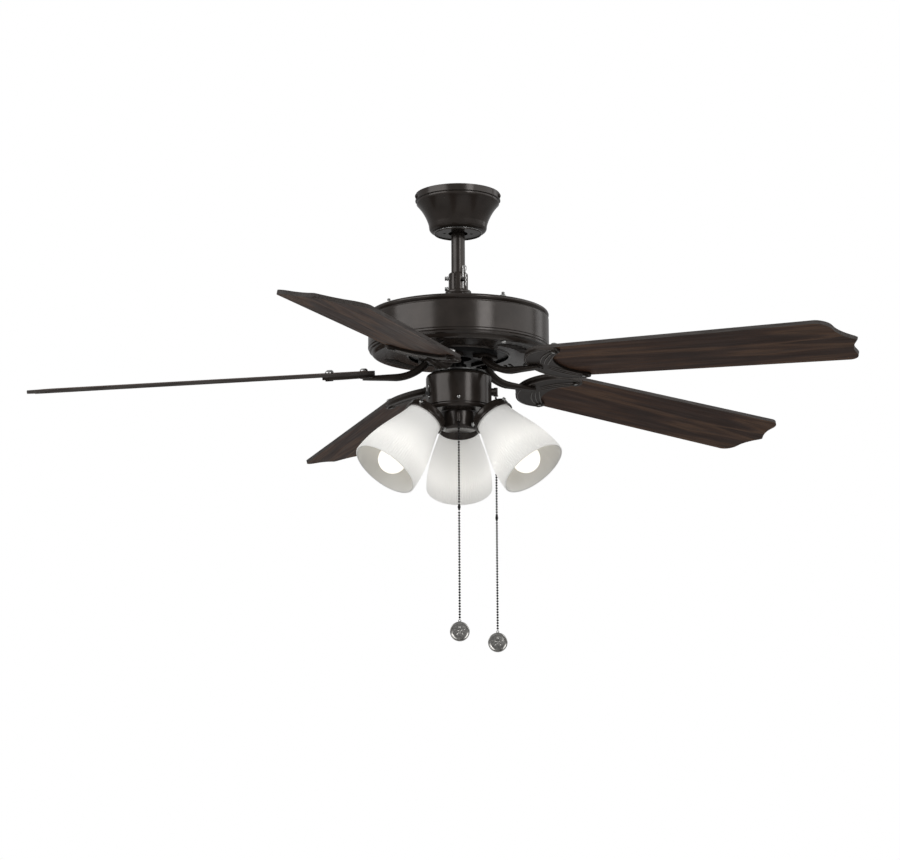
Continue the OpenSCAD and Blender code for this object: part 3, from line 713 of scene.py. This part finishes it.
IRON_T = 4
IRON_R = 56  # the round inner end of the plate under a blade's root, centred at IRON_U
IRON_U = 185
NOTCH_R = 44
NOTCH_U = 222
HORN = (202, 46.8)  # centre of a horn's round end
HORN_R = 7.6
ARM_W = 17
ARM_T = 10
ARM_BEND = (100, -225)
ARM_MID_R = 66
FOOT_RHO = (36, 62)  # where the foot under the flywheel starts and ends
FOOT_W = 40
FOOT_T = 5
RIDGES = 3
RIDGE_BULGE = 7


def inner_end(radius, steps):
    """The round inner end of an iron's plate, from just past one horn to just short of the other."""
    first = math.degrees(math.atan2(HORN[1], HORN[0] - IRON_U)) + 4
    return arc((IRON_U, 0), radius, first, 360 - first, steps)


def iron_outline():
    """The plate: a round inner end, two horns, and a deep round notch between them."""
    notch_a = math.degrees(math.atan2(HORN[1], HORN[0] - NOTCH_U)) + 6
    outline = inner_end(IRON_R, 48) + arc((HORN[0], -HORN[1]), HORN_R, -100, 40, 8)
    outline += arc((NOTCH_U, 0), NOTCH_R, 360 - notch_a, notch_a, 32)
    return outline + arc(HORN, HORN_R, -40, 100, 8)


def iron_ridge(bm, place, side, k):
    """One of the thin ridges that run close together from the arm's end out to a horn."""
    start = Vector((155 + 4.0 * k, 9.0 - 3.5 * k))
    end = Vector(HORN) + Vector((1.5, 2.6 - 2.6 * k))
    away = Vector((start.y - end.y, end.x - start.x)).normalized()
    bend = (start + end) / 2 + away * (RIDGE_BULGE - 3.0 * k) * 2
    path = [(p.x, side * p.y, -IRON_T - 0.1) for p in curve(start, bend, end, 20)]
    tube(bm, path, swelling(0.35, 0.85, 0.4), place, sides=8)


def iron_rim(bm, place):
    """The raised line just inside the round edge of the plate."""
    path = [(u, v, -IRON_T + 0.1) for u, v in inner_end(IRON_R - 2.8, 60)]
    tube(bm, path, swelling(0.4, 0.6, 0.3), place, sides=8)


def arm_path():
    """The middle of the arm seen from the side: down round the bend, then out under the plate."""
    bend = arc(ARM_BEND, ARM_MID_R, 222, 270, 14)
    return bend + [(112, -291.2), (124, -291.6), (136, -292.0), (148, -292.2)]


def arm_section(scale_w, scale_t):
    """The arm cut across: rounded edges, and a shallow groove along its underside."""
    half_w, half_t = ARM_W / 2, ARM_T / 2
    half = [(0, -3.0), (1.3, -3.4), (2.8, -4.6), (5.0, -half_t), (7.3, -4.1)]
    half += [(half_w, -1.6), (half_w, 1.8), (7.3, 4.2), (4.5, half_t)]
    around = half + [(-y, n) for y, n in half[::-1] if y > 0]
    return [(y * scale_w, n * scale_t) for y, n in around]


def iron_arm(bm):
    """A grooved round-edged bar that swings down from the flywheel and runs out under the plate."""
    path = [Vector(p) for p in arm_path()]
    rings = []
    for i, p in enumerate(path):
        t = i / (len(path) - 1)
        along = heading(path, i)
        normal = Vector((-along.y, along.x))
        wide = 1.0 + 0.25 * (1 - t) ** 4 - 0.12 * math.sin(math.pi * t)
        thick = 1.0 if t < 0.75 else 1.0 - 2.0 * (t - 0.75)
        section = arm_section(wide, thick)
        rings.append([bm.verts.new((p.x + normal.x * n, y, p.y + normal.y * n)) for y, n in section])
    skin(bm, rings)


def rounded_box(x0, x1, y0, y1, radius):
    corners = ((x1 - radius, y1 - radius, 0), (x0 + radius, y1 - radius, 90))
    corners += ((x0 + radius, y0 + radius, 180), (x1 - radius, y0 + radius, 270))
    points = []
    for x, y, a in corners:
        points += arc((x, y), radius, a, a + 90, 5)
    return points


def screw_collar(bm, place):
    """The round boss with a sunk middle that a blade screw comes out of, under the plate."""
    edge = arc((5.2, -IRON_T - 1.2), 1.0, 0, -90, 4)
    inside = [(3.4, -IRON_T - 2.2), (3.0, -IRON_T - 1.4), (0, -IRON_T - 1.4)]
    lathe(bm, [(0, -1.0), (6.2, -1.0)] + edge + inside, place, 28, closed=False)


def make_iron(i):
    tilt = blade_tilt()
    node = f"blade_iron_{i + 1}"
    foot_top = low("flywheel", 2) - 0.03
    bm = bmesh.new()
    slab(bm, rounded_box(*FOOT_RHO, -FOOT_W / 2, FOOT_W / 2, 7), foot_top - FOOT_T, foot_top, 0.9)
    iron_arm(bm)
    slab(bm, iron_outline(), -IRON_T, -0.06, 1.3, tilt, 3)
    for u, v in BLADE_SCREWS:
        screw_collar(bm, tilt @ shift(u, v, 0))
    piece(bm, f"{node}_cast", "bronze", "rotor", [node], blade_turn(i), 50, CAST_BRONZE)
    bm = bmesh.new()
    iron_rim(bm, tilt)
    for side in (-1, 1):
        for k in range(RIDGES):
            iron_ridge(bm, tilt, side, k)
    # The rim line and the ridges get the paler bronze, a painted highlight
    piece(bm, f"{node}_ridges", "bronze", "rotor", [], blade_turn(i), 60, PAINTED_GLINT_BRONZE)


def make_blade_screws():
    """Domed heads above the blades, and flat cross-recessed ends in the irons' collars below."""
    bm = bmesh.new()
    for i in range(BLADE_N):
        blade = blade_turn(i) @ blade_tilt()
        for u, v in BLADE_SCREWS:
            screw(bm, blade @ shift(u, v, BLADE_T + 0.02), 6.3, 4.4, 2.5, 7)
            screw(bm, blade @ shift(u, v, -IRON_T - 1.3) @ spin(180, "X"), 2.9, 0.8, 2.0, 2)
    piece(bm, "blade_screws_domed", "steel", "rotor", ["blade_screws"])


# ---- hanger, yoke and motor housing ----

CANOPY_H = 61
SHEET = 1.2


def canopy_outline():
    """From the top edge down: a straight band, a hollow flank and a round shoulder."""
    r = high("canopy", 0)
    outline = [(r, 0), (r, -0.6), (r, -8.2), (r, -9.4), (r - 2.0, -10.6)]
    outline += arc((r + 58.2, -CANOPY_H - 9.4), 81.6, 137, 165, 24)
    outline += arc((r - 28.8, -CANOPY_H + 7.8), 7.8, -14, -90, 10)
    return outline + [(r - 32.5, -CANOPY_H)]


def make_canopy():
    """The spun cover, the ring that closes it below, and the ring's bright rolled lip."""
    bm = bmesh.new()
    r = high("canopy", 0)
    lathe(bm, shell(canopy_outline(), SHEET), steps=128)
    # A rolled bead where the straight band ends
    bead = arc((r - 0.9, -9.6), 0.9, -110, 90, 8)
    lathe(bm, bead, steps=128)
    piece(bm, "canopy_spun", "bronze", "ceiling_mount", ["canopy"], sharp=50)
    bm = bmesh.new()
    top = -CANOPY_H - 0.02
    lip = r - 29.3
    section = [(15.2, top), (lip - 1.4, top), (lip, top - 1.2), (lip, top - 2.5), (lip - 0.4, top - 2.8)]
    section += [(lip - 0.9, top - 2.7), (lip - 1.1, top - 2.2), (lip - 1.6, top - 1.3)]
    section += [(16.4, top - 1.2), (15.2, top - 1.2)]
    lathe(bm, section, steps=128)
    # A raised edge where each of the CAD ring's two small holes is
    rim = [(2.6, top - 1.25), (2.6, top - 1.45), (1.9, top - 1.45), (1.9, top - 1.25)]
    for az in (5, 185):
        turned(bm, rim, spin(az) @ shift(21, 0, 0), 20)
    piece(bm, "canopy_ring_spun", "bronze", "ceiling_mount", ["canopy_ring"], sharp=50)
    bm = bmesh.new()
    lathe(bm, arc((lip + 0.2, top - 0.5), 0.55, 0, 315, 7), steps=128)
    piece(bm, "canopy_ring_lip", "steel", "ceiling_mount", [], sharp=60)


def ray(az, z, r):
    """The frame of a screw that stands out along a ray from the fan's axis."""
    return spin(az) @ shift(r, 0, z) @ spin(90, "Y")


CANOPY_SCREW_AZ = [13, -13, 167, 193]
CANOPY_SCREW_Z = -5.5


def make_canopy_screws():
    bm = bmesh.new()
    for az in CANOPY_SCREW_AZ:
        screw(bm, ray(az, CANOPY_SCREW_Z, high("canopy", 0) + 0.1), 3.6, 2.0, 2.0, 7)
    piece(bm, "canopy_screws_round", "bronze", "ceiling_mount", ["canopy_screws"])


YOKE_R = 15
YOKE_FLANGE_R = 20
YOKE_BORE_R = 10.72
YOKE_GROOVES = [-139, -111, -38, -8, 41, 69, 142, 172]
YOKE_SCREW_ZS = [-134, -150.8]


def make_yoke():
    """The casting with its flange and its grooved barrel, and its two set screws with their nuts."""
    bm = bmesh.new()
    bottom, top = low("yoke", 2), high("yoke", 2)
    section = [(YOKE_FLANGE_R - 1, bottom), (YOKE_FLANGE_R, bottom + 1), (YOKE_FLANGE_R, bottom + 5)]
    section += [(YOKE_FLANGE_R - 1, bottom + 6), (YOKE_R + 1.2, bottom + 6.1)]
    section += [(YOKE_R, bottom + 7.2), (YOKE_R, top - 2.4), (YOKE_R - 0.8, top - 0.8), (YOKE_R - 2, top)]
    section += [(YOKE_BORE_R, top), (YOKE_BORE_R, bottom)]
    barrel = range(5, 8)

    def grooves(angle, index):
        if index not in barrel:
            return 0.0
        turn = math.degrees(angle)
        nearest = min(abs((turn - g + 180) % 360 - 180) for g in YOKE_GROOVES)
        return -1.7 * max(0.0, 1 - (nearest / 5.0) ** 2)

    lathe(bm, section, steps=192, wave=grooves)
    piece(bm, "yoke_cast", "bronze", "fan_frame", ["yoke"], sharp=45)
    bm = bmesh.new()
    for z in YOKE_SCREW_ZS:
        place = ray(180, z, YOKE_R)
        hexagon = arc((0, 0), 3.6, 0, 300, 5)
        slab(bm, hexagon, 0.3, 2.5, 0.35, place)
        slab(bm, hexagon, 2.9, 5.9, 0.5, place @ spin(17))
        turned(bm, [(2.0, -4.0), (2.0, 2.9), (2.0, 3.2)], place, 20)
    piece(bm, "yoke_screws_hex", "steel", "fan_frame", ["yoke_screws"])


CLEVIS_AZ = -64
CLEVIS_Z = -139
CLEVIS_R = 3.2
CLIP_RHO = 17.2


def make_clevis():
    """The pin through yoke and rod, and the spring clip: a straight leg, an eye and a wavy leg."""
    bm = bmesh.new()
    place = ray(CLEVIS_AZ, CLEVIS_Z, 0)
    profile = [(0.1, -18.1), (4.4, -18.1), (5.0, -17.6), (5.0, -15.6), (4.6, -15.1), (CLEVIS_R, -15.1)]
    turned(bm, profile + [(CLEVIS_R, 18.6), (2.4, 19.5)], place, 28)
    piece(bm, "clevis_pin_turned", "dark_steel", "fan_frame", ["clevis_pin"])
    bm = bmesh.new()
    gap = 5.2
    eye_z = -120
    eye_r = 3.2
    straight = [(0, -153 + k * 4.0) for k in range(8)]
    eye = arc((gap / 2, eye_z), eye_r, 215, -35, 16)
    wavy = []
    for k in range(1, 25):
        t = k / 24
        wavy.append((gap - 1.3 * math.sin(4 * math.pi * t) ** 2, eye_z - eye_r - 26 * t))
    path = [(CLIP_RHO, y, z) for y, z in straight + eye + wavy]
    tube(bm, path, 0.8, spin(CLEVIS_AZ), sides=10)
    piece(bm, "hairpin_clip_wire", "steel", "fan_frame", ["hairpin_clip"], sharp=60)


COVER_Z = -161
DECK_H = 11  # how far the cover's flat deck stands above the band


def make_motor_housing():
    """The upper cover, with a rolled bead round its deck, and the plain band."""
    r = high("motor_band", 0)
    deck = high("motor_band", 2) + DECK_H
    outline = [(8.6, COVER_Z), (26, COVER_Z), (34, COVER_Z - 4.5)]
    outline += [(r - 26, deck + 2.6), (r - 22, deck), (r - 8, deck)]
    outline += arc((r - 3.8, deck - 4.4), 4, 130, -40, 12)
    outline += [(r - 2.6, deck - 8.6), (r - 2.6, deck - 10.4), (r - 1.4, deck - 10.9), (r - 1.4, deck - 16)]
    bm = bmesh.new()
    lathe(bm, shell(softened(outline, 1.2, 2), SHEET), steps=160)
    piece(bm, "motor_cover_spun", "bronze", "fan_frame", ["motor_cover"], sharp=50)
    bm = bmesh.new()
    z0, z1 = low("motor_band", 2), high("motor_band", 2)
    band = [(r - 1.3, z0 + 0.2), (r - 0.9, z0), (r - 0.3, z0), (r, z0 + 0.5), (r, z0 + 1.2)]
    band += [(r, z1 - 1.6), (r, z1 - 0.7), (r - 0.5, z1), (r - 1.3, z1)]
    lathe(bm, band, steps=160)
    piece(bm, "motor_band_rolled", "bronze", "fan_frame", ["motor_band"], sharp=50)


BOLT_AZ = -57.5
PAN_Z = -257.5
VENT_AZ = BOLT_AZ + 25
VENT_RHO = 108
VENT_SLOTS = 7  # in each of four groups
VENT_STEP = 6
VENT_SLANT = 35


def make_louvres():
    """Pressed hoods along one side of each slot in the motor's lower pan."""
    path = [(x, 0, -0.2) for x in (-12, -10, -6, 0, 6, 10, 12)]
    bm = bmesh.new()
    for quarter in range(4):
        for i in range(VENT_SLOTS):
            turn = spin(VENT_AZ + 90 * quarter + VENT_STEP * (i - (VENT_SLOTS - 1) / 2))
            place = turn @ shift(VENT_RHO, 0, PAN_Z + 0.2) @ spin(VENT_SLANT) @ shift(0, 2.6, 0)
            tube(bm, path, swelling(0.25, 1.5, 0.5), place, sides=8, squash=0.9)
    piece(bm, "motor_pan_louvres", "bronze", "fan_frame", [], sharp=60)


def make_housing_bolts():
    """Heads under the pan, and nuts with the bolts' threaded ends above the cover."""
    bm = bmesh.new()
    rho = high("motor_band", 0) - 14.5
    deck = high("motor_band", 2) + DECK_H
    for k in range(4):
        place = spin(BOLT_AZ + 90 * k) @ shift(rho, 0, 0)
        screw(bm, place @ shift(0, 0, PAN_Z - 0.15) @ spin(180, "X"), 4.5, 3.3, 2.4, 10)
        slab(bm, arc((0, 0), 4.6, 0, 300, 5), deck + 0.1, deck + 3.9, 0.5, place)
        thread = [(2.1, deck - 4)]
        for j in range(7):
            z = deck + 3.9 + 0.6 * j
            thread += [(2.45, z), (2.1, z + 0.3)]
        turned(bm, thread + [(1.6, deck + 8.4)], place, 20)
    piece(bm, "housing_bolts_machine", "steel", "fan_frame", ["housing_bolts"])


# ---- switch housing and light kit ----

SHADE_AZ = [-150, -30, 90]
SHADE_TILT = 39
GALLERY_RHO = 61
GALLERY_Z = -360
GALLERY_R = 31.8
GALLERY_H = 13
GALLERY_LIP = 2.4
THUMB_S = -5
THUMB_AZ = [20, 75, 60]
NECK_R = 28.4
SHADE_D = 104.4
GLASS_T = 3
RIB_DEPTH = 0.8


def shade_frame(i):
    """The frame of a shade: Z runs out along its axis from the gallery's mouth."""
    return spin(SHADE_AZ[i]) @ shift(GALLERY_RHO, 0, GALLERY_Z) @ spin(180 - SHADE_TILT, "Y")


def shade_outline():
    """The outside of the bell, from its neck to its rim: it fills out quickly, then runs nearly straight."""
    points = [(NECK_R, -10.5), (NECK_R, -1.5)]
    steps = 26
    for k in range(steps + 1):
        t = k / steps
        swell = (1 - (1 - t) ** 2.05) ** 1.5
        points.append((NECK_R + 1.2 + (SHADE_D / 2 - NECK_R - 1.2) * swell, 1 + (SHADE_LEN - 1) * t))
    return points


def make_shades():
    outer = shade_outline()
    inner = offset(outer, -GLASS_T)[::-1]
    rim_r = SHADE_D / 2 - GLASS_T / 2
    lip = arc((rim_r, SHADE_LEN - GLASS_T / 2), GLASS_T / 2, 15, 165, 5)
    section = outer[:-1] + lip + inner[1:]

    def ribs(angle, index):
        t = (section[index][1] - 1) / SHADE_LEN
        if index >= len(outer) - 1 or t < FIRST_RIB:
            return 0.0
        grown = min(1.0, (t - FIRST_RIB) / (FULL_RIB - FIRST_RIB))
        return -RIB_DEPTH * grown * (0.5 + 0.5 * math.cos(RIBS * angle))

    for i in range(3):
        bm = bmesh.new()
        lathe(bm, section, steps=RIBS * 4, wave=ribs)
        node = f"shade_{i + 1}"
        piece(bm, f"{node}_glass", "shade_glass", "fan_frame", [node], shade_frame(i), 60)


def make_galleries():
    """Spun cups with a rolled mouth, the collars they stand on, and bosses for the thumbscrews."""
    lip = GALLERY_LIP
    cup = [(8, -GALLERY_H)] + arc((GALLERY_R - 5, 5 - GALLERY_H), 5, -90, -8, 8)
    cup += [(GALLERY_R, lip - 4), (GALLERY_R + 0.9, lip - 3.2)]
    cup += [(GALLERY_R + 0.9, lip - 0.8), (GALLERY_R + 0.2, lip)]
    collar = [(9.6, -GALLERY_H + 0.4), (9.6, -16), (9.0, -17), (9.0, -21.4), (8.4, -22), (5, -22)]
    collar += [(5, -32), (3, -32), (3, -GALLERY_H + 0.4)]
    boss = [(4.4, -0.4), (4.4, 0.5), (3.6, 1.1), (1.7, 1.1)]
    bm = bmesh.new()
    for i in range(3):
        place = shade_frame(i)
        lathe(bm, shell(cup, -SHEET), place, 96)
        lathe(bm, collar, place, 40)
        for k in range(3):
            turned(bm, boss, place @ ray(THUMB_AZ[i] + 120 * k, THUMB_S, GALLERY_R), 24)
    piece(bm, "galleries_spun", "bronze", "fan_frame", ["galleries"], sharp=50)


def knurl(angle, index):
    """Fine ridges on a thumbscrew's rim, which is points 4 and 5 of its section."""
    return 0.16 * math.cos(16 * angle) if index in (4, 5) else 0.0


def make_thumbscrews():
    section = solid([(1.5, -3.0), (1.5, 1.3), (2.6, 1.4), (3.0, 1.8), (3.0, 4.4), (2.5, 4.9)])
    bm = bmesh.new()
    for i in range(3):
        for k in range(3):
            place = shade_frame(i) @ ray(THUMB_AZ[i] + 120 * k, THUMB_S, GALLERY_R)
            lathe(bm, section, place, 64, closed=False, wave=knurl)
    piece(bm, "thumbscrews_knurled", "steel", "fan_frame", ["thumbscrews"], sharp=50)


REVERSE_AZ = -154.5
REVERSE_Z = -317
REVERSE_SCREW_DZ = 8.5
PAN_SCREW_AZ = [-90, 30, 150]
PAN_SCREW_Z = -330.4


def make_small_screws():
    """The screws round the light's pan, and those above and below the direction switch."""
    r = high("switch_housing", 1)
    bm = bmesh.new()
    for az in PAN_SCREW_AZ:
        screw(bm, ray(az, PAN_SCREW_Z, r + 0.1), 2.8, 1.8, 1.4, 5)
    piece(bm, "light_pan_screws_round", "steel", "fan_frame", ["light_pan_screws"])
    bm = bmesh.new()
    for side in (-1, 1):
        screw(bm, ray(REVERSE_AZ, REVERSE_Z + REVERSE_SCREW_DZ * side, r + 0.1), 2.4, 1.6, 1.2, 6)
    piece(bm, "reverse_screws_round", "steel", "fan_frame", ["reverse_screws"])


# ---- pull chains ----

BEAD_R = 1.78
BEAD_PITCH = 4.1
WIRE_R = 0.2
CONNECTOR_R = 2.3
CONNECTOR_LEN = 10
CONNECTOR_Z = {"fan": -507, "light": -497}


def middle(node):
    """A node's centre line, in X and Y."""
    return (low(node, 0) + high(node, 0)) / 2, (low(node, 1) + high(node, 1)) / 2


def beads(bm, x, y, top, bottom, skip=None):
    """Beads on a wire from top down to bottom; skip is the stretch that a connector covers."""
    run = top - bottom - 2 * BEAD_R
    count = int(run / BEAD_PITCH) + 1
    step = run / (count - 1)
    for k in range(count):
        z = top - BEAD_R - k * step
        if skip and skip[0] < z < skip[1]:
            continue
        ball(bm, (x, y, z), BEAD_R)
    turned(bm, [(WIRE_R, bottom + 0.4), (WIRE_R, top - 0.4)], shift(x, y, 0), 8)


def make_chain(kind):
    """The chain with its bell-shaped connector, and the stem of it that slides in its outlet."""
    node = f"{kind}_chain"
    x, y = middle(node)
    z = CONNECTOR_Z[kind]
    half = CONNECTOR_LEN / 2
    bm = bmesh.new()
    beads(bm, x, y, high(node, 2), low(node, 2), (z - half + 0.6, z + half - 0.6))
    bell = [(0.9, z - half), (1.5, z - half + 0.5), (1.7, z - 2), (CONNECTOR_R, z - 0.8)]
    bell += [(CONNECTOR_R, z + 1.0), (1.8, z + 2), (1.6, z + half - 0.5), (0.9, z + half)]
    turned(bm, bell, shift(x, y, 0), 24)
    piece(bm, f"{kind}_chain_beads", "dark_steel", f"{kind}_pull_chain", [node], sharp=60)
    stem = f"{kind}_pull_stem"
    bm = bmesh.new()
    x, y = middle(stem)
    beads(bm, x, y, high(stem, 2), low(stem, 2))
    piece(bm, f"{kind}_pull_beads", "dark_steel", f"{kind}_pull", [stem], sharp=60)


FOB_R = 14.7
FOB_RING = 2.4


def make_fob(kind):
    """A cast coin with a raised rim and a plain pinwheel in low relief on both faces."""
    node = f"{kind}_fob"
    x, y = middle(node)
    z = low(node, 2) + FOB_R
    place = shift(x, y, z) @ spin(90, "X")
    bm = bmesh.new()
    half = [(0, 0.75), (9.6, 0.75), (10.2, 0.55), (10.9, 0.5), (11.4, 0.7), (12.4, 0.9), (12.9, 1.4)]
    half += [(13.6, 1.6), (14.3, 1.35), (FOB_R, 0.7)]
    outline = [(r, -t) for r, t in half] + half[::-1]
    lathe(bm, outline, place, 96, closed=False)
    petal = [(1.6 + 6.4 * t, 2.6 * math.sin(1.5 * t), 0.62) for t in [j / 8 for j in range(9)]]
    for face in (-1, 1):
        for k in range(5):
            turn = place @ (spin(180, "X") if face < 0 else ORIGIN) @ spin(72 * k)
            tube(bm, petal, swelling(0.3, 1.5, 0.8), turn, sides=10, squash=0.45)
        turned(bm, [(1.7, face * 0.5), (1.5, face * 1.15), (0.8, face * 1.35)], place, 20)
    ring_z = z + FOB_R + FOB_RING - 1.0
    angles = [math.pi * k / 9 for k in range(-5, 15)]
    loop = [(x + 1.7 * math.cos(a), y, ring_z + 1.7 * math.sin(a)) for a in angles]
    tube(bm, loop, 0.7, sides=10)
    piece(bm, f"{kind}_fob_cast", "pewter", f"{kind}_pull_chain", [node], sharp=60)


make_camera()
make_stage()
dress_cad_nodes()
for i in range(BLADE_N):
    make_blade(i)
for i in range(BLADE_N):
    make_iron(i)
make_blade_screws()
make_canopy()
make_canopy_screws()
make_yoke()
make_clevis()
make_motor_housing()
make_louvres()
make_housing_bolts()
make_shades()
make_galleries()
make_thumbscrews()
make_small_screws()
for kind in ("fan", "light"):
    make_chain(kind)
    make_fob(kind)
